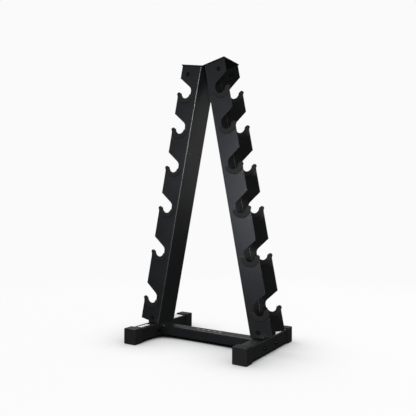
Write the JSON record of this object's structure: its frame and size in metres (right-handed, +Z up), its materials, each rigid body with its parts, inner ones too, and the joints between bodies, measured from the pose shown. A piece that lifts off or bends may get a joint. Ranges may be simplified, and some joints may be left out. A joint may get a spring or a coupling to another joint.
{
  "type": "dumbbell rack",
  "caption": "Free-standing A-frame rack of folded steel channels on tube feet, with notched, plastic-lined cradles on both sides that hold dumbbells by their handles.",
  "frame": {"origin": "centre of the bounding box at floor level", "axes": "+Z up, X along the crossbar from one foot to the other, Y along the feet"},
  "size_m": [0.618, 0.404, 1.1404],
  "materials": {
    "powder_coated_steel": "satin black powder coat",
    "saddle_plastic": "moulded matte black",
    "cap_plastic": "moulded matte black, fine grain",
    "fastener_steel": "black oxide",
    "label_film": "plain off-white film, no lettering",
    "dot_film": "muted rose film",
    "mark_ink": "plain pale grey print"
  },
  "bodies": {
    "root": {"base_bolts": "fastener_steel", "base_nuts": "fastener_steel", "base_washers": "fastener_steel", "crossbar": "powder_coated_steel", "crossbar_bolts": "fastener_steel", "crossbar_mark": "mark_ink", "crossbar_nuts": "fastener_steel", "crossbar_washers": "fastener_steel", "inspection_dot": "dot_film", "left_end_plate": "powder_coated_steel", "left_foot_bracket": "powder_coated_steel", "left_foot_tube": "powder_coated_steel", "left_front_cap": "cap_plastic", "left_front_label": "label_film", "left_front_saddle_1": "saddle_plastic", "left_front_saddle_2": "saddle_plastic", "left_front_saddle_3": "saddle_plastic", "left_front_saddle_4": "saddle_plastic", "left_front_saddle_5": "saddle_plastic", "left_front_saddle_6": "saddle_plastic", "left_rear_cap": "cap_plastic", "left_rear_label": "label_film", "left_rear_saddle_1": "saddle_plastic", "left_rear_saddle_2": "saddle_plastic", "left_rear_saddle_3": "saddle_plastic", "left_rear_saddle_4": "saddle_plastic", "left_rear_saddle_5": "saddle_plastic", "left_rear_saddle_6": "saddle_plastic", "left_upright": "powder_coated_steel", "right_end_plate": "powder_coated_steel", "right_foot_bracket": "powder_coated_steel", "right_foot_tube": "powder_coated_steel", "right_front_cap": "cap_plastic", "right_front_saddle_1": "saddle_plastic", "right_front_saddle_2": "saddle_plastic", "right_front_saddle_3": "saddle_plastic", "right_front_saddle_4": "saddle_plastic", "right_front_saddle_5": "saddle_plastic", "right_front_saddle_6": "saddle_plastic", "right_rear_cap": "cap_plastic", "right_rear_label": "label_film", "right_rear_saddle_1": "saddle_plastic", "right_rear_saddle_2": "saddle_plastic", "right_rear_saddle_3": "saddle_plastic", "right_rear_saddle_4": "saddle_plastic", "right_rear_saddle_5": "saddle_plastic", "right_rear_saddle_6": "saddle_plastic", "right_upright": "powder_coated_steel", "top_bolts": "fastener_steel", "top_bracket": "powder_coated_steel", "top_nuts": "fastener_steel", "top_washers": "fastener_steel"}
  },
  "joints": []
}
